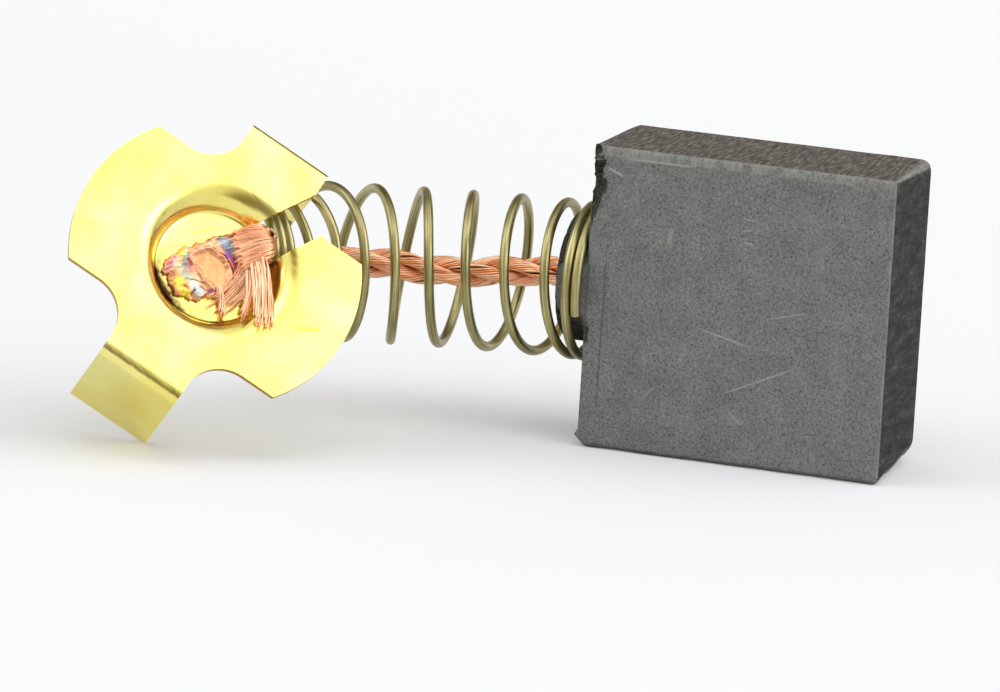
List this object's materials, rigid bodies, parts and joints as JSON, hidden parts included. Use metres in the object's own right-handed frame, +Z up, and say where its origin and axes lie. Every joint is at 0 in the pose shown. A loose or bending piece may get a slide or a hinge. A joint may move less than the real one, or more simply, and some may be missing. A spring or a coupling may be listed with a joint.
{
  "type": "carbon brush",
  "caption": "Motor carbon brush: a ground carbon block with a coil spring and a twisted copper lead welded into a stamped brass terminal cap with two bent tabs.",
  "frame": {"origin": "middle of the block's bottom face, on the surface it stands on", "axes": "+X from the spring seat to the contact face, +Y across the block's thickness, +Z up"},
  "size_m": [0.0422, 0.026, 0.0172],
  "materials": {
    "carbon": "ground electrographite, matt",
    "tamping_powder": "rammed graphite powder, matt",
    "spring_wire": "drawn spring wire with an olive tint",
    "cap_brass": "bright stamped brass sheet",
    "welded_copper": "copper wires pressed flat and heat tinted",
    "lead_copper": "fine twisted copper wires"
  },
  "bodies": {
    "root": {"carbon_block": "carbon", "tamping_plug": "tamping_powder", "pressure_spring": "spring_wire", "terminal_cap": "cap_brass", "welded_end": "welded_copper", "lead_bundle_1": "lead_copper", "lead_bundle_2": "lead_copper", "lead_bundle_3": "lead_copper", "loose_wires_1": "lead_copper", "loose_wires_2": "lead_copper", "loose_wires_3": "lead_copper", "loose_wires_4": "lead_copper", "loose_wires_5": "lead_copper"}
  },
  "joints": []
}
